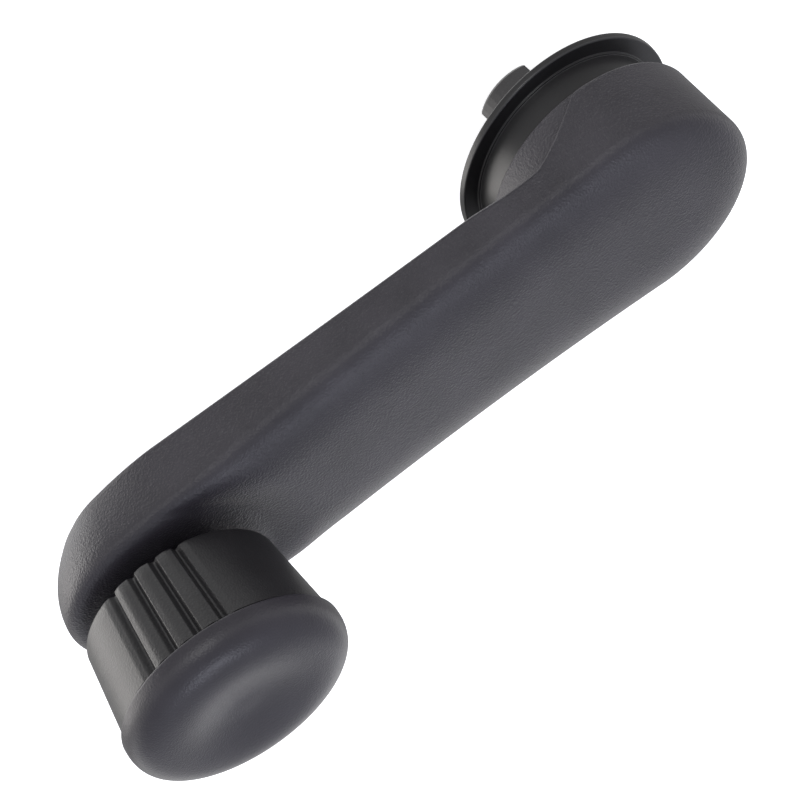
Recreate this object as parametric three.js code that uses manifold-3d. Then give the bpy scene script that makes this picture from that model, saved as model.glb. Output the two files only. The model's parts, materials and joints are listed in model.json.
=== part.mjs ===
// Window crank operator: a moulded crank arm on a splined door spindle, a trim rosette behind
// its hub and a free-spinning knob at its far end. Millimetres, +Z away from the door.
// The origin is on the spindle axis, in the plane of the door trim. The arm runs along +X.
import * as THREE from 'three';
import { mergeVertices } from 'three/addons/utils/BufferGeometryUtils.js';
import Module from 'manifold-3d';

const wasm = await Module();
wasm.setup();

// ---- driving dimensions ----
const THROW = 89.7; // spindle axis to knob axis
const GAP = 0.35; // clearance between separate pieces

const HUB_R = 19.75; // outside of the hub skirt
const END_R = 16.75; // knob end of the arm, seen from above
const WAIST = 0.45; // how far the sides bow in from the straight lines between the two
const WALL = 2.3; // wall of the moulded arm
const ROOF = 2.4; // thickness of the arm's outer face
const HUB_TOP = 24.3; // outer face at the hub's back
const ARM_TOP = 20.55; // outer face along the arm
const TOP_START = -20; // stretch over which the outer face comes down
const TOP_END = 66;
const DOME = 0.2; // how far the outer face curves down to its sides
const SEAT_Z = 18.8; // shallow seat round the knob
const SKIRT_Z = 7.7; // lower edge of the hub skirt
const DRAFT = 0.3; // inward lean of the walls from bottom to top
const HUB_CROWN = 4.6; // edge round of the outer face at the hub,
const ARM_CROWN = 5.8; // along the arm
const END_CROWN = 3.1; // and round the knob end
const HUB_RUN = 9; // how far that round runs in, in the same order
const ARM_RUN = 7.8;
const END_RUN = 3;
const TIP_START = 77.7; // from here the foot of the wall tucks in under the knob
const TIP_TUCK = 5.3;
const BARREL_R = 18.9; // smooth barrel inside the skirt
const BARREL_WALL = 1.45;
const BARREL_Z = 7.2; // lower edge of the barrel
const BARREL_TOP = 14.5;

const ROSETTE_R = 20; // trim disc behind the hub
const ROSETTE_T = 1.2;
const ROSETTE_HOLE_R = 8.6;
const RECESS_R = 11.6; // room behind the rosette for the tail circlip
const RECESS_TOP = 1.8;
const COLLAR_R = 17.05; // rosette collar inside the barrel
const COLLAR_TOP = 10.2;

const CORE_R = 16.6; // moulded core inside the barrel
const CORE_Z = 12.2;
const CORE_TOP = 14.3;
const SLEEVE_R = 8; // tail sleeve round the splined insert
const SLEEVE_BORE_R = 6.45;
const TAIL_Z = -12; // tip of the tail fingers
const FINGER_TOP = -2.6;
const FINGER_HALF = 39; // half angle of each tail finger, degrees
const FINGER_TURN = -73; // direction of the visible finger, degrees from the arm
const INSERT_R = 6.1;
const SPLINE_ROOT_R = 5.1;
const SPLINE_TIP_R = 4.55;
const SPLINES = 18;
const CLIP_Z = 4.6; // spring clip in the tail sleeve
const CLIP_T = 1.2;

const BEAM_Z = 14.9; // steel strap inside the arm
const BEAM_T = 1.6;
const COVER_T = 1.2; // closing plate under the arm
const COVER_RECESS = 0.3;
const SCREW_X = [38, 66];
const HUB_SCREW_Y = [-9.5, 9.5];

const KNOB_BASE = 22;
const KNOB_TOP = 36.7;
const KNOB_BASE_R = 15.75;
const KNOB_TOP_R = 17.15;
const KNOB_WALL = 2.2;
const CAP_R = 17.8;
const CAP_Z = 37.1;
const CAP_TOP = 42.7;
const CAP_DISH = 41.3;
// Knob grooves, in degrees from the arm, and again opposite.
const GROOVES = [-113, -99.2, -85.6, -71.2];
const GROOVE_R = 0.8;
const GROOVE_OUT = 0.1; // groove centre line outside the sleeve's surface
const JOURNAL_R = 4.7;

// ---- solids ----
function closed(geometry) {
  geometry.deleteAttribute('normal');
  geometry.deleteAttribute('uv');
  const merged = mergeVertices(geometry, 1e-4);
  const position = merged.getAttribute('position');
  const index = Array.from(merged.index.array);
  const a = new THREE.Vector3();
  const b = new THREE.Vector3();
  const c = new THREE.Vector3();
  const faces = [];
  let volume = 0;
  for (let i = 0; i < index.length; i += 3) {
    const [p, q, r] = index.slice(i, i + 3);
    if (p === q || q === r || r === p) continue;
    a.fromBufferAttribute(position, p);
    b.fromBufferAttribute(position, q);
    c.fromBufferAttribute(position, r);
    volume += a.dot(b.cross(c));
    faces.push([p, q, r]);
  }
  const triVerts = new Uint32Array(faces.flatMap(([p, q, r]) => (volume < 0 ? [p, r, q] : [p, q, r])));
  const vertProperties = new Float32Array(position.array);
  return new wasm.Manifold(new wasm.Mesh({ numProp: 3, vertProperties, triVerts }));
}

function toGeometry(manifold) {
  const mesh = manifold.getMesh();
  const geometry = new THREE.BufferGeometry();
  geometry.setAttribute('position', new THREE.BufferAttribute(mesh.vertProperties, 3));
  geometry.setIndex(new THREE.BufferAttribute(mesh.triVerts, 1));
  geometry.computeVertexNormals();
  return geometry;
}

// A body of revolution about Z through (x, 0): profile points are [radius, z].
function turned(profile, segments = 48, x = 0) {
  const points = profile.map(([r, z]) => new THREE.Vector2(r, z));
  const geometry = new THREE.LatheGeometry(points, segments);
  geometry.rotateX(Math.PI / 2);
  geometry.translate(x, 0, 0);
  return closed(geometry);
}

// A ring of rectangular section about Z through (x, 0).
function ring(inner, outer, z0, z1, segments = 48, x = 0) {
  return turned([[inner, z0], [outer, z0], [outer, z1], [inner, z1], [inner, z0]], segments, x);
}

function rod(radius, z0, z1, segments = 24, x = 0) {
  return turned([[0, z0], [radius, z0], [radius, z1], [0, z1]], segments, x);
}

// An outline in the XY plane, raised from z0 to z1.
function slab(outline, z0, z1) {
  const shape = new THREE.Shape(outline.map(([x, y]) => new THREE.Vector2(x, y)));
  const geometry = new THREE.ExtrudeGeometry(shape, { depth: z1 - z0, bevelEnabled: false });
  geometry.translate(0, 0, z0);
  return closed(geometry);
}

// An outline in the XZ plane, as wide as the span, centred on Y = 0.
function sideways(outline, span) {
  const shape = new THREE.Shape(outline.map(([x, z]) => new THREE.Vector2(x, z)));
  const geometry = new THREE.ExtrudeGeometry(shape, { depth: span, bevelEnabled: false });
  geometry.rotateX(Math.PI / 2);
  geometry.translate(0, span / 2, 0);
  return closed(geometry);
}

function block(x0, x1, y0, y1, z0, z1) {
  const geometry = new THREE.BoxGeometry(x1 - x0, y1 - y0, z1 - z0);
  geometry.translate((x0 + x1) / 2, (y0 + y1) / 2, (z0 + z1) / 2);
  return closed(geometry);
}

function polar(radius, degrees, x = 0) {
  const turn = THREE.MathUtils.degToRad(degrees);
  return [x + radius * Math.cos(turn), radius * Math.sin(turn)];
}

// A wedge about Z, used to keep or cut one sector of a ring.
function wedge(direction, half, reach, z0, z1) {
  const rim = [-1, -0.5, 0, 0.5, 1].map((t) => polar(reach, direction + t * half));
  return slab([[0, 0], ...rim], z0, z1);
}

// ---- the arm's moulded form ----
function sideWidth(x) {
  const t = x / THROW;
  return HUB_R + (END_R - HUB_R) * t - WAIST * 4 * t * (1 - t);
}

// Half of the outline seen from above, from the hub's back to the tip of the knob end.
// Each point carries the place on the centre line that its normal comes from.
function halfOutline() {
  const points = [];
  for (let degrees = 180; degrees >= 90; degrees -= 7.5) {
    const [x, y] = polar(HUB_R, degrees);
    points.push({ x, y, spine: 0 });
  }
  for (let x = 7; x < THROW - 3; x += 7) points.push({ x, y: sideWidth(x), spine: x });
  for (let degrees = 90; degrees >= 0; degrees -= 9) {
    const [x, y] = polar(END_R, degrees, THROW);
    points.push({ x, y, spine: THROW });
  }
  return points;
}

const half = halfOutline();
const OUTLINE = [...half, ...half.slice(1, -1).reverse().map((p) => ({ ...p, y: -p.y }))];

function outerFace(x) {
  const t = THREE.MathUtils.clamp((x - TOP_START) / (TOP_END - TOP_START), 0, 1);
  return ARM_TOP + (HUB_TOP - ARM_TOP) * (1 - t) ** 2;
}

// Lower edge of the arm along its straight part.
function underFace(x) {
  return 14.6 - 0.084 * x;
}

function nearKnob(x) {
  return THREE.MathUtils.smoothstep(x, TIP_START, THROW + END_R);
}

// Inset of the wall at a fraction of its height: it leans in, and tucks in under the knob.
function wallInset(x, f) {
  return DRAFT * f + nearKnob(x) * TIP_TUCK * (1 - f) ** 2.2;
}

// A size that changes from the hub's value to the arm's, and on to the value at the knob end.
function along(x, hub, arm, end) {
  const side = THREE.MathUtils.lerp(hub, arm, THREE.MathUtils.smoothstep(x, 0, 64));
  return THREE.MathUtils.lerp(side, end, nearKnob(x));
}

// A closed form over the arm's outline: every level gives its inset and height at each x.
function moulded(levels) {
  const count = OUTLINE.length;
  const profile = levels.map((level, j) => {
    return new THREE.Vector2(j === 0 || j === levels.length - 1 ? 0 : 1, j);
  });
  const geometry = new THREE.LatheGeometry(profile, count);
  const position = geometry.getAttribute('position');
  for (let i = 0; i <= count; i += 1) {
    const point = OUTLINE[i % count];
    const reach = Math.hypot(point.x - point.spine, point.y);
    levels.forEach((level, j) => {
      const inset = Math.min(level.inset(point.x), reach) / reach;
      const x = point.x + (point.spine - point.x) * inset;
      const y = point.y * (1 - inset);
      position.setXYZ(i * levels.length + j, x, y, level.z(x));
    });
  }
  return closed(geometry);
}

const WHOLE = () => 1e3;

// The arm's outside, or its inside when offset inwards and downwards.
function armForm(offset, drop, floor) {
  const crown = (x) => along(x, HUB_CROWN, ARM_CROWN, END_CROWN);
  const run = (x) => along(x, HUB_RUN, ARM_RUN, END_RUN);
  const shoulder = (x) => outerFace(x) - drop - DOME - crown(x);
  const levels = [
    { inset: WHOLE, z: () => floor },
    { inset: (x) => offset + wallInset(x, 0), z: () => floor },
  ];
  for (const f of [0, 0.16, 0.36, 0.64, 1]) {
    levels.push({
      inset: (x) => offset + wallInset(x, f),
      z: (x) => THREE.MathUtils.lerp(underFace(x), shoulder(x), f),
    });
  }
  for (const degrees of [18, 36, 54, 72, 90]) {
    const turn = THREE.MathUtils.degToRad(degrees);
    levels.push({
      inset: (x) => offset + wallInset(x, 1) + run(x) * (1 - Math.cos(turn)),
      z: (x) => shoulder(x) + crown(x) * Math.sin(turn),
    });
  }
  levels.push({ inset: WHOLE, z: (x) => outerFace(x) - drop });
  return moulded(levels);
}

// Everything below the arm's lower edge: the level skirt at the hub, the step that climbs
// over the barrel, and the long straight underside.
function belowArm() {
  const far = THROW + 40;
  const step = [[-0.9, SKIRT_Z], [0.9, 8.95], [3.6, 10.7], [7, 12.6], [10.8, 14.1], [16, 13.6], [22, 12.65]];
  const straight = [[far, underFace(far)], [far, -20]];
  return sideways([[-40, -20], [-40, SKIRT_Z], ...step, ...straight], 80);
}

function armShell() {
  const rim = [[16.9, SEAT_Z], [18.5, 19.1], [20.2, 19.6], [21.8, 20.1], [23.4, 20.65], [25.5, 21.4]];
  const seat = [[0, SEAT_Z], ...rim, [25.5, 30], [0, 30]];
  return armForm(0, 0, 0)
    .subtract(belowArm())
    .subtract(armForm(WALL, ROOF, -2))
    .add(ring(BARREL_R - BARREL_WALL, BARREL_R, BARREL_Z, BARREL_TOP, 72))
    .subtract(turned(seat, 48, THROW))
    .subtract(rod(7, 13, 25, 32, THROW));
}

function backCover() {
  const inset = (x) => WALL + GAP + 0.1 + wallInset(x, 0);
  const upper = (x) => inset(x) + DRAFT;
  const bottom = (x) => underFace(x) + COVER_RECESS;
  const top = (x) => bottom(x) + COVER_T;
  let plate = moulded([
    { inset: WHOLE, z: bottom },
    { inset, z: bottom },
    { inset: upper, z: top },
    { inset: WHOLE, z: top },
  ]);
  plate = plate.subtract(rod(BARREL_R + GAP + 0.1, 0, 30, 72));
  for (const x of SCREW_X) {
    plate = plate.subtract(rod(1.75, 0, 30, 16, x)).subtract(rod(3.2, 0, bottom(x) + 0.6, 20, x));
  }
  return plate;
}

function coverScrew(x) {
  const under = underFace(x) + COVER_RECESS + 0.6 - GAP;
  const top = BEAM_Z + BEAM_T + 0.2;
  const slot = block(x - 3, x + 3, -0.4, 0.4, under - 2, under - 0.35);
  const head = [[0, under - 0.6], [2.5, under - 0.6], [2.8, under - 0.3], [2.8, under]];
  return turned([...head, [1.4, under], [1.4, top], [0, top]], 20, x).subtract(slot);
}

function armBeam() {
  const outline = [];
  for (let degrees = 32; degrees <= 328; degrees += 14.8) outline.push(polar(12.6, degrees));
  for (let degrees = -45; degrees <= 45; degrees += 15) outline.push(polar(9.5, degrees, THROW));
  let strap = slab(outline, BEAM_Z, BEAM_Z + BEAM_T)
    .subtract(rod(INSERT_R + GAP, 0, 30, 32))
    .subtract(rod(4.4 + GAP, 0, 30, 24, THROW));
  for (const x of SCREW_X) strap = strap.subtract(rod(1.75, 0, 30, 16, x));
  for (const y of HUB_SCREW_Y) strap = strap.subtract(rod(1.75, 0, 30, 16).translate(0, y, 0));
  return strap;
}

function hubScrew(y) {
  const seat = BEAM_Z + BEAM_T + GAP;
  const shank = [[0, 11.2], [1.4, 11.2], [1.4, seat]];
  const head = [[2.7, seat], [2.7, seat + 0.7], [2, seat + 1.2], [0, seat + 1.2]];
  return turned([...shank, ...head], 20).translate(0, y, 0);
}

// ---- hub ----
function clipSlots() {
  const z0 = CLIP_Z - GAP;
  const z1 = CLIP_Z + CLIP_T + GAP;
  return block(-12, 12, -5.35, -3.65, z0, z1).add(block(-12, 12, 3.65, 5.35, z0, z1));
}

function hubCore() {
  const outer = [
    [SLEEVE_BORE_R, CORE_TOP], [SLEEVE_BORE_R, TAIL_Z], [SLEEVE_R - 0.4, TAIL_Z], [SLEEVE_R, TAIL_Z + 0.6],
    [SLEEVE_R, 0.35], [7.25, 0.35], [7.25, 1.75], [SLEEVE_R, 1.75],
    [SLEEVE_R, CORE_Z], [CORE_R, CORE_Z], [CORE_R, CORE_TOP], [SLEEVE_BORE_R, CORE_TOP],
  ];
  const between = 90 - FINGER_HALF;
  let core = turned(outer, 44).subtract(clipSlots());
  for (const side of [90, -90]) {
    core = core.subtract(wedge(FINGER_TURN + side, between, 20, TAIL_Z - 2, FINGER_TOP));
  }
  for (const y of HUB_SCREW_Y) core = core.subtract(rod(1.75, 0, 30, 16).translate(0, y, 0));
  return core;
}

function splineInsert() {
  const bore = [];
  for (let i = 0; i < SPLINES * 4; i += 1) {
    const radius = i % 4 < 2 ? SPLINE_ROOT_R : SPLINE_TIP_R;
    bore.push(polar(radius, (360 * i) / (SPLINES * 4)));
  }
  const flange = BEAM_Z + BEAM_T + GAP;
  return rod(INSERT_R, -0.4, flange + 0.7, 40)
    .add(rod(6.6, flange, flange + 1.1, 40))
    .subtract(slab(bore, -3, 14))
    .subtract(clipSlots())
    .subtract(rod(2, 10, 25, 16));
}

function springClip() {
  const bend = (centre, rx, ry, degrees) => {
    const [x, y] = polar(1, degrees);
    return [centre + rx * x, ry * y];
  };
  const outline = [[-9.4, -5], [9.2, -5]];
  for (let degrees = -75; degrees <= 75; degrees += 15) outline.push(bend(9.2, 2.4, 5, degrees));
  outline.push([9.2, 5], [-9.4, 5], [-9.4, 4], [8.9, 4]);
  for (let degrees = 75; degrees >= -75; degrees -= 15) outline.push(bend(8.9, 1.6, 4, degrees));
  outline.push([8.9, -4], [-9.4, -4]);
  return slab(outline, CLIP_Z, CLIP_Z + CLIP_T);
}

// ---- rosette ----
function rosette() {
  return turned([
    [ROSETTE_HOLE_R, RECESS_TOP], [RECESS_R, RECESS_TOP], [RECESS_R, 0], [ROSETTE_R - 0.35, 0],
    [ROSETTE_R, 0.35], [ROSETTE_R - 0.15, ROSETTE_T], [COLLAR_R, ROSETTE_T], [COLLAR_R, COLLAR_TOP],
    [COLLAR_R - 1.6, COLLAR_TOP], [COLLAR_R - 1.6, 3], [ROSETTE_HOLE_R, 3],
    [ROSETTE_HOLE_R, RECESS_TOP],
  ], 72);
}

function waveSpring() {
  const profile = [[15.3, 0], [16.5, 0], [16.5, 0.35], [15.3, 0.35], [15.3, 0]];
  const points = profile.map(([r, z]) => new THREE.Vector2(r, z));
  const geometry = new THREE.LatheGeometry(points, 48);
  geometry.rotateX(Math.PI / 2);
  const position = geometry.getAttribute('position');
  for (let i = 0; i < position.count; i += 1) {
    const turn = Math.atan2(position.getY(i), position.getX(i));
    position.setZ(i, position.getZ(i) + 11.05 + 0.4 * Math.cos(4 * turn));
  }
  return closed(geometry);
}

function tailCirclip() {
  const gap = wedge(FINGER_TURN + 90, 28, 20, -3, 3);
  return ring(7.55, 10.2, 0.7, 1.4, 40).subtract(gap);
}

// ---- knob ----
function axle() {
  return turned([
    [0, 12.6], [6.5, 12.6], [7, 13.1], [7, BEAM_Z - GAP], [4.4, BEAM_Z - GAP],
    [4.4, BEAM_Z + BEAM_T + GAP], [6.6, BEAM_Z + BEAM_T + GAP], [6.6, 21.1], [JOURNAL_R, 21.1],
    [JOURNAL_R, 33.4], [4, 33.4], [4, 34.6], [JOURNAL_R, 34.6], [JOURNAL_R - 0.6, 35.4], [0, 35.4],
  ], 32, THROW);
}

function knobCirclip() {
  return ring(4.35, 7, 33.7, 34.3, 32, THROW).subtract(block(THROW, THROW + 9, -1.2, 1.2, 30, 36));
}

function knobBush() {
  return turned([
    [5.05, 21.7], [9.2, 21.7], [9.2, 22.5], [7.5, 22.5], [7.5, 32.6], [5.05, 32.6], [5.05, 21.7],
  ], 32, THROW);
}

function knobSleeve() {
  const radius = (z) => THREE.MathUtils.mapLinear(z, KNOB_BASE, KNOB_TOP, KNOB_BASE_R, KNOB_TOP_R);
  let sleeve = turned([
    [7.85, 22.9], [9.6, 22.9], [9.6, KNOB_BASE], [KNOB_BASE_R - 0.7, KNOB_BASE], [radius(22.6), 22.6],
    [KNOB_TOP_R, KNOB_TOP], [KNOB_TOP_R - KNOB_WALL, KNOB_TOP], [13.9, 24.8],
    [9.8, 24.8], [9.8, 32.6], [7.85, 32.6], [7.85, 22.9],
  ], 60, THROW);
  const lean = Math.atan2(KNOB_TOP_R - KNOB_BASE_R, KNOB_TOP - KNOB_BASE);
  for (const degrees of [...GROOVES, ...GROOVES.map((angle) => angle + 180)]) {
    const cutter = new THREE.CylinderGeometry(GROOVE_R, GROOVE_R, 24, 10);
    cutter.rotateX(Math.PI / 2);
    cutter.rotateY(lean);
    cutter.translate(radius(30) + GROOVE_OUT, 0, 30);
    cutter.rotateZ(THREE.MathUtils.degToRad(degrees));
    cutter.translate(THROW, 0, 0);
    sleeve = sleeve.subtract(closed(cutter));
  }
  return sleeve;
}

function knobCap() {
  return turned([
    [0, CAP_DISH], [4, CAP_DISH + 0.2], [9, CAP_TOP - 0.2], [11.6, CAP_TOP], [13.6, CAP_TOP - 0.2],
    [15.7, CAP_TOP - 1.1], [17.1, CAP_TOP - 2.6], [CAP_R, CAP_Z + 0.9], [CAP_R - 0.2, CAP_Z],
    [14.4, CAP_Z], [14.4, 33.6], [13, 33.6], [13, 38.2], [11, 38.9], [0, 38.9],
  ], 60, THROW);
}

// ---- assembly ----
const FINISHES = {
  grained: { color: 0x2c2b2e, roughness: 0.62, metalness: 0 },
  smooth: { color: 0x1d1c1e, roughness: 0.5, metalness: 0 },
  knob: { color: 0x242326, roughness: 0.55, metalness: 0 },
  steel: { color: 0x9a9c9f, roughness: 0.35, metalness: 1 },
  brass: { color: 0xb08d4a, roughness: 0.4, metalness: 1 },
};

const crankOperator = new THREE.Group();

function piece(name, manifold, finish, parent) {
  const mesh = new THREE.Mesh(toGeometry(manifold), new THREE.MeshStandardMaterial(FINISHES[finish]));
  mesh.name = name;
  parent.add(mesh);
}

const fixed = new THREE.Group();
piece('rosette', rosette(), 'smooth', fixed);

const crank = new THREE.Group();
piece('arm_shell', armShell(), 'grained', crank);
piece('back_cover', backCover(), 'smooth', crank);
piece('hub_core', hubCore(), 'smooth', crank);
piece('spline_insert', splineInsert(), 'steel', crank);
piece('spindle_clip', springClip(), 'steel', crank);
piece('rosette_spring', waveSpring(), 'steel', crank);
piece('tail_circlip', tailCirclip(), 'steel', crank);
piece('arm_beam', armBeam(), 'steel', crank);
SCREW_X.forEach((x, i) => piece(`cover_screw_${i + 1}`, coverScrew(x), 'steel', crank));
HUB_SCREW_Y.forEach((y, i) => piece(`hub_screw_${i + 1}`, hubScrew(y), 'steel', crank));
piece('knob_axle', axle(), 'steel', crank);
piece('thrust_washer', ring(6.95, 10.2, SEAT_Z + GAP, 21.35, 40, THROW), 'smooth', crank);
piece('knob_circlip', knobCirclip(), 'steel', crank);

const knob = new THREE.Group();
piece('knob_sleeve', knobSleeve(), 'knob', knob);
piece('knob_cap', knobCap(), 'grained', knob);
piece('knob_bush', knobBush(), 'brass', knob);
piece('end_washer', ring(5.05, 7.4, 32.95, 33.35, 32, THROW), 'steel', knob);

crankOperator.add(fixed, crank, knob);

export default crankOperator;
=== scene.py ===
"""A window crank operator: the looks of the arm, hub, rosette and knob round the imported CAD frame."""
import json
import math

import bmesh
import bpy
import numpy as np
from mathutils import Matrix, Vector


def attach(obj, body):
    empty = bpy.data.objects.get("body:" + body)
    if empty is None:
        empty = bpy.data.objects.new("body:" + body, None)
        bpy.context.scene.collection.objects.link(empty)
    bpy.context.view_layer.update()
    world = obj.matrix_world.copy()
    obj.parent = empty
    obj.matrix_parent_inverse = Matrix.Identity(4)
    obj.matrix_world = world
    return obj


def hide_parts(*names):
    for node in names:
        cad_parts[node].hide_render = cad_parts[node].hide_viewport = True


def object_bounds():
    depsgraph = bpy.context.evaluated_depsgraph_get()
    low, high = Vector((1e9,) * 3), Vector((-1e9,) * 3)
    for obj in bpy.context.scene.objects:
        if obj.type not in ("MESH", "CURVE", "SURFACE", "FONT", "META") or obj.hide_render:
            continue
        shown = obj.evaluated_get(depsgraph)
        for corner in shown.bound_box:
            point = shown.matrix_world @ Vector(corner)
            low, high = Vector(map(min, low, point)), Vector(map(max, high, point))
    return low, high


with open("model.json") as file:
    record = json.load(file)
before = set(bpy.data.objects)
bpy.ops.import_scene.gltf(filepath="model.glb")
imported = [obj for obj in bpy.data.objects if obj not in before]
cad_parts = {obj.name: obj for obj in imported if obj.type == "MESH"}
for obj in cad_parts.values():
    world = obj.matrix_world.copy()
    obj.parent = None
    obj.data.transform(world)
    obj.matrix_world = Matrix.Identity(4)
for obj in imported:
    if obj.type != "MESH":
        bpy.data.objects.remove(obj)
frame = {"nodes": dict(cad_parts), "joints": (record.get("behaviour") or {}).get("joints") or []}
cad_low, cad_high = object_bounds()

# Shapes are in millimetres in the CAD's frame: +Z away from the door, the arm along +X.
MM = 0.001
THROW = frame["joints"][1]["pos_m"][0] / MM

# ---- driving dimensions: the arm ----
HUB_R = 19.75  # hub skirt
END_R = 16.75  # knob end, seen from above
WAIST = 0.45  # how far the sides bow in from the straight lines between the two
HUB_TOP, ARM_TOP = 24.3, 20.55  # outer face at the hub's back and along the arm
TOP_START, TOP_END = -20.0, 66.0  # stretch over which the outer face comes down
DOME = 0.2  # how far the outer face curves down to its sides
WALL, ROOF = 2.3, 2.4  # thickness of the sides and of the outer face

SKIRT_Z = 7.7  # lower edge of the skirt
THROAT_Z = 14.1  # where that edge has climbed over the barrel
CLIMB_START, CLIMB_END, CLIMB_POWER = -0.9, 10.8, 1.3  # stretch of that climb, and its curve
UNDER_START, UNDER_END = 11.0, 23.0  # stretch that leads on to the arm's straight lower edge
UNDER_Z, UNDER_SLOPE = 14.6, 0.084  # that straight edge, and its fall towards the knob
LIP = 0.45  # round of the lower edge

HUB_CROWN, ARM_CROWN, END_CROWN = 4.4, 5.0, 2.8  # edge round of the outer face: its height
HUB_RUN, ARM_RUN, END_RUN = 9.5, 8.5, 2.8  # and how far it runs in
EDGE_EASE = 1.35  # how much further it runs in than an ellipse, to meet the face without a crease
EDGE_FULL = 2.8  # how full it is at the wall; 2 is an ellipse
HUB_DRAFT, ARM_DRAFT = 0.53, 0.1  # how far the walls lean in from bottom to top
HUB_BLEND = 64.0  # how far along the arm the hub's round and lean fade out
END_BLEND_START, END_BLEND_END = 66.0, 86.0  # stretch over which the knob end's round takes over

TIP_START = 77.7  # where the walls start to tuck in under the knob
TIP_TUCK = 5.3  # how far they tuck in at the lower edge
TIP_RISE = 11.75  # height over which the tuck fades
TUCK_POWER = 2.2
TIP_LEAN = 0.38  # how far they lean in again at the top

SEAT_Z = 18.8  # dished seat round the knob
SEAT_R, SEAT_EDGE_R = 17.3, 23.6  # where it starts to climb, and where it reaches the outer face
SEAT_RISE = 0.1  # how far above the arm's face that climb is aimed
SEAT_SOFT = 0.5  # how softly the two meet
AXLE_HOLE_R = 7.0

BARREL_R, BARREL_WALL = 18.9, 1.5
BARREL_Z, BARREL_TOP = 7.2, 14.5

# ---- the rosette ----
ROSETTE_R, ROSETTE_T = 20.0, 1.2
RECESS_R, RECESS_TOP = 11.6, 1.8  # behind it, round the tail circlip
ROSETTE_BORE_R, ROSETTE_FLOOR = 8.6, 3.0
COLLAR_R, COLLAR_TOP, COLLAR_WALL = 17.05, 10.2, 1.6
COLLAR_FOOT = 0.3

# ---- the knob ----
KNOB_BASE, KNOB_TOP = 22.0, 36.75
KNOB_BASE_R, KNOB_TOP_R = 15.75, 17.15
BASE_ROUND = [(0, 0.3), (0.08, 0.14), (0.22, 0.04), (0.4, 0)]  # height above the base, and inset
GROOVES = (-113.0, -99.2, -85.6, -71.2)  # degrees from the arm, and again opposite
GROOVE_DEPTH, GROOVE_HALF = 1.0, 1.05
SHOULDER_DEPTH, SHOULDER_START, SHOULDER_END = 0.2, 0.6, 1.9  # eased shoulder beside each groove
BOSS_R, BOSS_TOP = 9.8, 32.6  # the sleeve's inside
BORE_R, BORE_Z = 7.85, 22.9
CAP_R, CAP_Z, CAP_TOP, CAP_DISH = 17.8, 37.1, 42.7, 41.3
CAP_RIM_R = 11.6  # top of the cap, between its dish and its rounded edge
CAP_FLAT_R = 1.5  # middle of the dish
CAP_LIP = 0.5
SPIGOT_R, SPIGOT_WALL, SPIGOT_Z = 14.4, 1.4, 33.6  # the cap's spigot inside the sleeve
CAP_CEILING = 38.9


# ---- small helpers ----
def ease(x, low, high):
    t = np.clip((np.asarray(x, float) - low) / (high - low), 0, 1)
    return t * t * (3 - 2 * t)


def rounded(corners, steps=5):
    """A closed profile from (radius, height, round) corners, each round drawn as a curve."""
    points = []
    for i, (r, z, size) in enumerate(corners):
        here = np.array((r, z), float)
        if size == 0:
            points.append(here)
            continue
        before = np.array(corners[i - 1][:2], float) - here
        after = np.array(corners[(i + 1) % len(corners)][:2], float) - here
        start = here + before / np.linalg.norm(before) * size
        end = here + after / np.linalg.norm(after) * size
        for t in np.linspace(0, 1, steps + 1):
            points.append((1 - t) ** 2 * start + 2 * t * (1 - t) * here + t * t * end)
    return points


def piece(name, vertices, faces, body, slot, material, nodes=(), sharp=32):
    """A smooth-shaded mesh object in the CAD's frame, from millimetres."""
    mesh = bpy.data.meshes.new(name)
    mesh.from_pydata([Vector(v) * MM for v in vertices], [], faces)
    work = bmesh.new()
    work.from_mesh(mesh)
    bmesh.ops.remove_doubles(work, verts=work.verts, dist=1e-7)
    bmesh.ops.dissolve_degenerate(work, dist=1e-8, edges=work.edges)
    bmesh.ops.recalc_face_normals(work, faces=work.faces)
    work.to_mesh(mesh)
    work.free()
    obj = bpy.data.objects.new(name, mesh)
    bpy.context.scene.collection.objects.link(obj)
    dress(obj, body, material, nodes, sharp)
    return obj


def dress(obj, body, material, nodes=(), sharp=32):
    obj.data.materials.clear()
    obj.data.materials.append(material)
    obj.data.shade_smooth()
    obj.data.set_sharp_from_angle(angle=math.radians(sharp))
    if body:
        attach(obj, body)
        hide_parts(*nodes)


def grid(columns, closed_rows=False):
    """Vertices and quads of columns of points, joined round in a ring."""
    count, rows = len(columns), len(columns[0])
    vertices = [p for column in columns for p in column]
    faces = []
    for i in range(count):
        j = (i + 1) % count
        for k in range(rows if closed_rows else rows - 1):
            m = (k + 1) % rows
            faces.append((i * rows + k, j * rows + k, j * rows + m, i * rows + m))
    return vertices, faces


def lathe(profile, segments=144, x=0.0):
    """A closed profile of (radius, height) turned about Z through (x, 0)."""
    columns = []
    for turn in np.linspace(0, 2 * math.pi, segments, endpoint=False):
        c, s = math.cos(turn), math.sin(turn)
        columns.append([(x + r * c, r * s, z) for r, z in profile])
    return grid(columns, closed_rows=True)


def boolean(obj, other, operation):
    """Joins or cuts obj with another closed mesh, which is used up."""
    modifier = obj.modifiers.new("join", "BOOLEAN")
    modifier.operation = operation
    modifier.solver = "EXACT"
    modifier.object = other
    graph = bpy.context.evaluated_depsgraph_get()
    made = bpy.data.meshes.new_from_object(obj.evaluated_get(graph), depsgraph=graph)
    obj.modifiers.clear()
    obj.data = made
    bpy.data.objects.remove(other)


# ---- materials ----
def shader(name, roughness, metallic=0.0, specular=0.5):
    material = bpy.data.materials.new(name)
    material.use_nodes = True
    nodes = material.node_tree.nodes
    surface = nodes["Principled BSDF"]
    surface.inputs["Roughness"].default_value = roughness
    surface.inputs["Metallic"].default_value = metallic
    surface.inputs["Specular IOR Level"].default_value = specular
    return material, nodes, material.node_tree.links, surface


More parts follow.
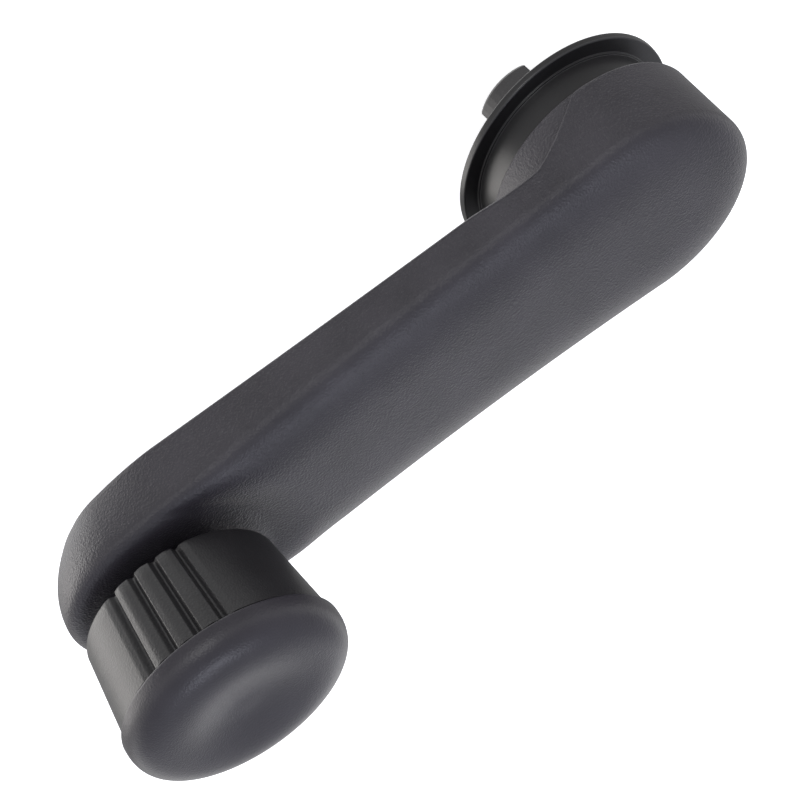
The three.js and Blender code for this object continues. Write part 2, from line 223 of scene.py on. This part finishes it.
def noise(nodes, links, place, scale, detail=3.0, roughness=0.55):
    node = nodes.new("ShaderNodeTexNoise")
    node.inputs["Scale"].default_value = scale
    node.inputs["Detail"].default_value = detail
    node.inputs["Roughness"].default_value = roughness
    links.new(place, node.inputs["Vector"])
    return node.outputs["Fac"]


def ramp(nodes, links, value, stops):
    node = nodes.new("ShaderNodeValToRGB")
    elements = node.color_ramp.elements
    while len(elements) < len(stops):
        elements.new(0.5)
    for element, (position, colour) in zip(elements, stops):
        element.position = position
        element.color = (*colour, 1)
    links.new(value, node.inputs["Fac"])
    return node.outputs["Color"]


def spread(nodes, links, value, low, high, start=0):
    """Maps the stretch from start to 1 on to the stretch from low to high."""
    node = nodes.new("ShaderNodeMapRange")
    node.inputs["From Min"].default_value = start
    node.inputs["To Min"].default_value = low
    node.inputs["To Max"].default_value = high
    links.new(value, node.inputs["Value"])
    return node.outputs["Result"]


def bump(nodes, links, height, strength, distance, below=None):
    node = nodes.new("ShaderNodeBump")
    node.inputs["Strength"].default_value = strength
    node.inputs["Distance"].default_value = distance
    links.new(height, node.inputs["Height"])
    if below is not None:
        links.new(below, node.inputs["Normal"])
    return node.outputs["Normal"]


def cells(nodes, links, place, scale):
    node = nodes.new("ShaderNodeTexVoronoi")
    node.feature = "SMOOTH_F1"
    node.inputs["Scale"].default_value = scale
    node.inputs["Smoothness"].default_value = 0.7
    node.inputs["Randomness"].default_value = 1.0
    links.new(place, node.inputs["Vector"])
    return node.outputs["Distance"]


def moulded_plastic(name, dark, light, roughness, grain, depth, specular=0.5):
    """Black moulded plastic: pebbled grain of that size in metres, a finer tooth, and uneven gloss."""
    material, nodes, links, surface = shader(name, roughness, specular=specular)
    place = nodes.new("ShaderNodeTexCoord").outputs["Object"]
    cloud = noise(nodes, links, place, 90, detail=4)
    fine = noise(nodes, links, place, 2.2 / grain, detail=3, roughness=0.65)
    pebbles = cells(nodes, links, place, 1 / grain)
    mixed = nodes.new("ShaderNodeMath")
    mixed.operation = "MULTIPLY_ADD"
    mixed.inputs[1].default_value = 0.35
    links.new(fine, mixed.inputs[0])
    links.new(cloud, mixed.inputs[2])
    colour = ramp(nodes, links, mixed.outputs[0], [(0.45, dark), (0.85, light)])
    links.new(colour, surface.inputs["Base Color"])
    gloss = spread(nodes, links, fine, roughness + 0.09, roughness - 0.07)
    links.new(gloss, surface.inputs["Roughness"])
    first = bump(nodes, links, pebbles, 0.75, depth)
    links.new(bump(nodes, links, fine, 0.6, depth * 0.8, first), surface.inputs["Normal"])
    return material


def metal(name, dark, light, roughness, streak=(1, 1, 1)):
    """Plated or turned metal: clouded colour, uneven gloss and fine tool marks."""
    material, nodes, links, surface = shader(name, roughness, metallic=1.0)
    place = nodes.new("ShaderNodeTexCoord").outputs["Object"]
    mapping = nodes.new("ShaderNodeMapping")
    mapping.inputs["Scale"].default_value = streak
    links.new(place, mapping.inputs["Vector"])
    cloud = noise(nodes, links, place, 220, detail=5)
    marks = noise(nodes, links, mapping.outputs["Vector"], 2600, detail=4, roughness=0.7)
    links.new(ramp(nodes, links, cloud, [(0.3, dark), (0.7, light)]), surface.inputs["Base Color"])
    gloss = spread(nodes, links, marks, roughness - 0.08, roughness + 0.14)
    links.new(gloss, surface.inputs["Roughness"])
    links.new(bump(nodes, links, marks, 0.35, 0.00004), surface.inputs["Normal"])
    return material


GRAINED = moulded_plastic("grained black", (0.021, 0.0192, 0.0242), (0.033, 0.0302, 0.0372),
                          0.34, 0.00034, 0.00010, 0.36)
CAPPED = moulded_plastic("cap black", (0.019, 0.0172, 0.0222), (0.029, 0.0264, 0.0332),
                         0.34, 0.0003, 0.00004, 0.36)
RIBBED = moulded_plastic("knob black", (0.009, 0.0085, 0.0095), (0.015, 0.0142, 0.0157),
                         0.38, 0.0003, 0.00004, 0.5)
SMOOTH = moulded_plastic("smooth black", (0.008, 0.0075, 0.0085), (0.012, 0.0115, 0.0125),
                         0.34, 0.0005, 0.00001)
TAIL = moulded_plastic("tail black", (0.018, 0.0168, 0.0182), (0.026, 0.0245, 0.0262),
                       0.5, 0.0004, 0.00002)
# Washer under the knob: its own black, made darker still as painted shade for the gap under the knob
WASHER_AND_SHADE = moulded_plastic("washer black and painted shade", (0.003, 0.003, 0.003), (0.005, 0.005, 0.005),
                         0.4, 0.0005, 0.00001)
ZINC = metal("die-cast zinc", (0.36, 0.37, 0.39), (0.52, 0.53, 0.55), 0.42)
SPRING = metal("spring steel", (0.26, 0.26, 0.27), (0.40, 0.40, 0.41), 0.34, (1, 6, 1))
PLATED = metal("zinc plated steel", (0.44, 0.45, 0.46), (0.60, 0.60, 0.59), 0.32)
STRAP = metal("strap steel", (0.38, 0.39, 0.40), (0.54, 0.55, 0.56), 0.40, (1, 7, 1))
TURNED = metal("turned steel", (0.46, 0.46, 0.48), (0.62, 0.62, 0.64), 0.28, (1, 1, 8))
BRASS = metal("turned brass", (0.50, 0.36, 0.14), (0.66, 0.50, 0.24), 0.33, (1, 1, 8))


# ---- the arm ----
def outer_face(x):
    """Height of the outer face on the centre line, falling from the hub to the arm."""
    t = np.clip((x - TOP_START) / (TOP_END - TOP_START), 0, 1)
    return ARM_TOP + (HUB_TOP - ARM_TOP) * (1 - t) ** 2


def lower_edge(x):
    """Level at the skirt, then up in an S over the barrel and along the straight underside."""
    t = np.clip((x - CLIMB_START) / (CLIMB_END - CLIMB_START), 0, 1)
    climb = SKIRT_Z + (THROAT_Z - SKIRT_Z) * (1 - (1 - t) ** CLIMB_POWER)
    straight = UNDER_Z - UNDER_SLOPE * x
    beyond = THROAT_Z - (THROAT_Z - straight) * ease(x, UNDER_START, UNDER_END)
    return np.where(x < CLIMB_END, climb, beyond)


def side_reach(x):
    """Half width of the arm at x, from the hub's circle to the end's."""
    t = x / THROW
    return HUB_R + (END_R - HUB_R) * t - WAIST * 4 * t * (1 - t)


def arm_outline(hub_steps=40, side_steps=118, end_steps=40):
    """(place on the centre line, direction, reach) of each column round the arm."""
    half = [(0.0, angle, HUB_R) for angle in np.linspace(180, 90, hub_steps, endpoint=False)]
    for x in np.linspace(0, THROW, side_steps, endpoint=False):
        half.append((x, 90.0, side_reach(x)))
    half += [(THROW, angle, END_R) for angle in np.linspace(90, 0, end_steps)]
    return half + [(x, -angle, reach) for x, angle, reach in half[-2:0:-1]]


def top_face(x, y):
    """The outer face, dished round the knob."""
    face = float(outer_face(x))
    r = math.hypot(x - THROW, y)
    climb = max(r - SEAT_R, 0) / (SEAT_EDGE_R - SEAT_R)
    if climb > 2:
        return face
    dish = SEAT_Z + (ARM_TOP + SEAT_RISE - SEAT_Z) * climb
    return 0.5 * (face + dish - math.sqrt((face - dish) ** 2 + SEAT_SOFT * SEAT_SOFT))


def edge_sizes(x0, x):
    """Height and run-in of the edge round and lean of the wall, for the column at x0 that reaches x."""
    hub = 1 - float(ease(x0, 0, HUB_BLEND))
    end = float(ease(x, END_BLEND_START, END_BLEND_END))
    crown = ARM_CROWN + (HUB_CROWN - ARM_CROWN) * hub
    crown += (END_CROWN - crown) * end
    run = ARM_RUN + (HUB_RUN - ARM_RUN) * hub
    run += (END_RUN - run) * end
    return crown, run, ARM_DRAFT + (HUB_DRAFT - ARM_DRAFT) * hub


def arm_column(x0, angle, reach):
    """One column of points, from the inner ceiling down, round the lower edge and up over the top."""
    turn = math.radians(angle)
    dx, dy = math.cos(turn), math.sin(turn)
    x = x0 + dx * reach
    tip = float(ease(x, TIP_START, THROW + END_R))
    crown, run, draft = edge_sizes(x0, x)
    low, high = float(lower_edge(x)), top_face(x, dy * reach)
    shoulder = high - crown

    def wall_inset(f):
        tuck = max(0, 1 - f * (shoulder - low) / TIP_RISE) ** TUCK_POWER
        return draft * f + tip * (TIP_TUCK * tuck + TIP_LEAN * f)

    # (inset from the reach, height, whether that height counts from the outer face)
    inner = []
    ceiling = high - ROOF
    for f in np.linspace(0, 1, 9):
        inner.append((reach + (WALL + run - reach) * f, -ROOF, True))
    for turn in np.linspace(90, 0, 6)[1:]:
        a = math.radians(turn)
        inner.append((WALL + run * (1 - math.cos(a)), ceiling - crown * (1 - math.sin(a)), False))
    inner.append((WALL + wall_inset(0.4), low + (shoulder - low) * 0.3, False))
    inner.append((WALL + wall_inset(0), low, False))
    outer = []
    for f in np.linspace(0, 1, 5):
        a = f * math.pi / 2
        outer.append((wall_inset(0) + LIP * (1 - math.sin(a)), low + LIP * (1 - math.cos(a)), False))
    for f in np.linspace(0.08, 1, 16):
        outer.append((wall_inset(f), low + (shoulder - low) * f, False))
    edge = wall_inset(1)
    wide = run * EDGE_EASE
    for u in np.linspace(0, 1, 27)[1:] ** 2.6:
        rise = (1 - (1 - u) ** (2 * EDGE_EASE)) ** (1 / EDGE_FULL)
        outer.append((edge + wide * u, -crown * (1 - rise), True))
    for f in np.linspace(0, 1, 12)[1:]:
        outer.append((edge + wide + (reach - edge - wide) * f, 0.0, True))

    def place(inset, z, from_face):
        px = x0 + dx * max(reach - inset, 0)
        py = dy * max(reach - inset, 0)
        if from_face:
            z += top_face(px, py) - DOME * (1 - inset / reach) ** 2
        return px, py, z

    return [place(*spot) for spot in inner + outer]


def build_arm():
    vertices, faces = grid([arm_column(*column) for column in arm_outline()])
    arm = piece("arm_moulding", vertices, faces, None, None, GRAINED)
    barrel_inner = BARREL_R - BARREL_WALL
    ring = rounded([(barrel_inner, BARREL_Z, 0.2), (BARREL_R, BARREL_Z, 0.3),
                    (BARREL_R, BARREL_TOP, 0), (barrel_inner, BARREL_TOP, 0)], 3)
    boolean(arm, piece("barrel", *lathe(ring), None, None, GRAINED), "UNION")
    low, high = SEAT_Z - 5.8, SEAT_Z + 6.2
    hole = [(0.0, low), (AXLE_HOLE_R, low), (AXLE_HOLE_R, high), (0.0, high)]
    boolean(arm, piece("hole", *lathe(hole, 48, THROW), None, None, GRAINED), "DIFFERENCE")
    dress(arm, "crank", GRAINED, ["arm_shell"], sharp=38)


# ---- the hub's back ----
def build_rosette():
    """The thin disc, with a small foot round the collar that runs up inside the barrel."""
    foot_r, foot_z = COLLAR_R + COLLAR_FOOT, ROSETTE_T + COLLAR_FOOT
    inner_r = COLLAR_R - COLLAR_WALL
    profile = rounded([
        (RECESS_R, 0, 0.15), (ROSETTE_R, 0, 0.3), (ROSETTE_R - 0.15, ROSETTE_T, 0.3),
        (foot_r, ROSETTE_T, 0.12), (foot_r, foot_z, 0.12), (COLLAR_R, foot_z, 0.12),
        (COLLAR_R, COLLAR_TOP, 0.25), (inner_r, COLLAR_TOP, 0.25), (inner_r, ROSETTE_FLOOR, 0.4),
        (ROSETTE_BORE_R, ROSETTE_FLOOR, 0.2), (ROSETTE_BORE_R, RECESS_TOP, 0.2),
        (RECESS_R, RECESS_TOP, 0.2),
    ])
    piece("rosette_moulding", *lathe(profile, 180), "door_side", "smooth_plastic", SMOOTH, ["rosette"])


# ---- the knob ----
ALL_GROOVES = [*GROOVES, *(angle + 180 for angle in GROOVES)]


def wrap(angle):
    """The same angle between -180 and 180 degrees."""
    return (angle + 180) % 360 - 180


def groove(angle):
    """How deep the sleeve's side lies at that angle, in millimetres: grooves with eased shoulders."""
    radius = 0.5 * (KNOB_BASE_R + KNOB_TOP_R)
    depth = 0.0
    for centre in ALL_GROOVES:
        off = abs(math.radians(wrap(angle - centre)) * radius)
        depth = max(depth, GROOVE_DEPTH * (1 - float(ease(off, 0, GROOVE_HALF))))
        depth = max(depth, SHOULDER_DEPTH * (1 - float(ease(off, SHOULDER_START, SHOULDER_END))))
    return depth


def knob_angles():
    """Angles round the sleeve, closer together through the grooves."""
    coarse, fine, fine_half = 2.5, 0.4, 7.0
    angles = list(np.arange(-180, 180, coarse))
    for centre in ALL_GROOVES:
        angles = [a for a in angles if abs(wrap(a - centre)) > fine_half + fine / 2]
        angles += [wrap(centre + off) for off in np.arange(-fine_half, fine_half + 0.01, fine)]
    angles.sort()
    return [a for a, b in zip(angles, angles[1:] + [angles[0] + 360]) if b - a > fine / 2]


def build_sleeve():
    heights = [(KNOB_BASE + up, inset) for up, inset in BASE_ROUND]
    heights += [(z, 0) for z in np.linspace(KNOB_BASE + 2, KNOB_TOP, 8)]
    inside = [
        (14.8, KNOB_TOP), (13.8, 25.0), (BOSS_R, 24.8), (BOSS_R, BOSS_TOP), (BORE_R, BOSS_TOP),
        (BORE_R, BORE_Z), (9.6, BORE_Z), (9.6, KNOB_BASE),
    ]
    columns = []
    for angle in knob_angles():
        c, s = math.cos(math.radians(angle)), math.sin(math.radians(angle))
        depth = groove(angle)
        column = []
        for z, inset in heights:
            f = (z - KNOB_BASE) / (KNOB_TOP - KNOB_BASE)
            r = KNOB_BASE_R + (KNOB_TOP_R - KNOB_BASE_R) * f - inset - depth
            column.append((r, z))
        columns.append([(THROW + r * c, r * s, z) for r, z in column + inside])
    shape = grid(columns, closed_rows=True)
    piece("knob_body", *shape, "knob", "knob_plastic", RIBBED, ["knob_sleeve"], 50)


def build_cap():
    """A dish, a full rounded edge and a thin lip, with a spigot that goes down into the sleeve."""
    dome = []
    for r in np.linspace(0, CAP_RIM_R, 20):
        dome.append((r, CAP_DISH + (CAP_TOP - CAP_DISH) * float(ease(r, CAP_FLAT_R, CAP_RIM_R))))
    lip = CAP_Z + CAP_LIP
    for turn in np.linspace(0, 90, 19)[1:]:
        c, s = math.cos(math.radians(turn)), math.sin(math.radians(turn))
        dome.append((CAP_RIM_R + (CAP_R - CAP_RIM_R) * s**0.85, lip + (CAP_TOP - lip) * c**0.78))
    inner_r = SPIGOT_R - SPIGOT_WALL
    edge = rounded([
        (CAP_R, lip, 0), (CAP_R, CAP_Z, 0.4), (SPIGOT_R, CAP_Z, 0), (SPIGOT_R, SPIGOT_Z, 0),
        (inner_r, SPIGOT_Z, 0), (inner_r, CAP_CEILING - 0.7, 0), (inner_r - 2, CAP_CEILING, 0),
        (0, CAP_CEILING, 0),
    ], 6)[1:]
    piece("knob_dome", *lathe(dome + edge, 160, THROW), "knob", "cap_plastic", CAPPED, ["knob_cap"], 50)


def paint_cad():
    """The pieces that keep their CAD shape get their own finish."""
    finishes = {
        "back_cover": SMOOTH, "hub_core": TAIL, "spline_insert": ZINC, "spindle_clip": SPRING,
        "rosette_spring": SPRING, "tail_circlip": SPRING, "arm_beam": STRAP, "cover_screw_1": PLATED,
        "cover_screw_2": PLATED, "hub_screw_1": PLATED, "hub_screw_2": PLATED, "knob_axle": TURNED,
        "thrust_washer": WASHER_AND_SHADE, "knob_circlip": SPRING, "knob_bush": BRASS, "end_washer": PLATED,
    }
    for name, material in finishes.items():
        obj = frame["nodes"][name]
        obj.data.materials.clear()
        obj.data.materials.append(material)


# ---- camera, light and floor ----
def build_camera():
    """Over the knob's side of the arm, rolled until the hub is at the upper right."""
    back = Vector((0.0332, -0.85049, 0.52494))
    up = Vector((-0.62696, -0.42676, -0.65177))
    right = up.cross(back)
    data = bpy.data.cameras.new("camera")
    data.lens = 67.5
    data.sensor_width = 36
    data.clip_start, data.clip_end = 0.01, 20
    camera = bpy.data.objects.new("camera", data)
    turn = Matrix((right, up, back)).transposed().to_4x4()
    camera.matrix_world = Matrix.Translation((0.053197, -0.191971, 0.136359)) @ turn
    bpy.context.scene.collection.objects.link(camera)
    bpy.context.scene.camera = camera


def soft_light(name, place, target, size, power, colour=(1, 1, 1)):
    data = bpy.data.lights.new(name, "AREA")
    data.shape = "DISK"
    data.size = size
    data.energy = power
    data.color = colour
    light = bpy.data.objects.new(name, data)
    light.location = place
    light.rotation_euler = (Vector(target) - Vector(place)).to_track_quat("-Z", "Y").to_euler()
    bpy.context.scene.collection.objects.link(light)


def build_lights():
    middle = (0.045, 0, 0.015)
    soft_light("overhead", (0.16, -0.02, 1.0), middle, 0.35, 2.4, (0.85, 0.88, 1))
    soft_light("far side", (0.05, 1.1, 0.3), middle, 0.35, 0.3)
    soft_light("knob side", (0.85, -0.05, -0.5), (0.09, 0, 0.02), 0.8, 5.5, (1, 0.97, 0.94))
    soft_light("front", (0.05, -1.15, 0.17), middle, 0.16, 2.0)


def build_surroundings():
    """Grey walls like a light tent's: bright underfoot and round the horizon, dimmer between and above."""
    world = bpy.data.worlds.new("studio")
    world.use_nodes = True
    nodes, links = world.node_tree.nodes, world.node_tree.links
    split = nodes.new("ShaderNodeSeparateXYZ")
    links.new(nodes.new("ShaderNodeTexCoord").outputs["Generated"], split.inputs[0])
    level = spread(nodes, links, split.outputs["Z"], 0, 1, start=-1)
    greys = [(0.0, 1.6), (0.1, 1.4), (0.18, 0.42), (0.37, 0.42), (0.46, 1.3), (0.55, 1.3)]
    bands = [(height, (grey, grey, grey)) for height, grey in greys]
    bands += [(0.63, (0.58, 0.58, 0.62)), (1.0, (0.72, 0.74, 0.8))]
    links.new(ramp(nodes, links, level, bands), nodes["Background"].inputs["Color"])
    nodes["Background"].inputs["Strength"].default_value = 1.15
    bpy.context.scene.world = world


def build_floor():
    """A plain pale floor that glows a little and that only the camera sees."""
    material, nodes, links, surface = shader("floor", 0.7)
    place = nodes.new("ShaderNodeTexCoord").outputs["Object"]
    cloud = noise(nodes, links, place, 3, detail=2)
    pale = ramp(nodes, links, cloud, [(0.3, (0.86, 0.86, 0.86)), (0.7, (0.9, 0.9, 0.9))])
    links.new(pale, surface.inputs["Base Color"])
    surface.inputs["Emission Color"].default_value = (1, 1, 1, 1)
    surface.inputs["Emission Strength"].default_value = 0.8
    gap, reach = 0.0004, 4.0
    floor_z = cad_low.z - gap
    mesh = bpy.data.meshes.new("floor")
    corners = [(-reach, -reach), (reach, -reach), (reach, reach), (-reach, reach)]
    mesh.from_pydata([(x, y, floor_z) for x, y in corners], [], [(0, 1, 2, 3)])
    mesh.materials.append(material)
    floor = bpy.data.objects.new("floor", mesh)
    bpy.context.scene.collection.objects.link(floor)
    floor.visible_glossy = False
    floor.visible_shadow = False
    floor.visible_diffuse = False


build_camera()
build_arm()
build_rosette()
build_sleeve()
build_cap()
paint_cad()
build_lights()
build_surroundings()
build_floor()
bpy.context.scene.view_settings.view_transform = "Standard"
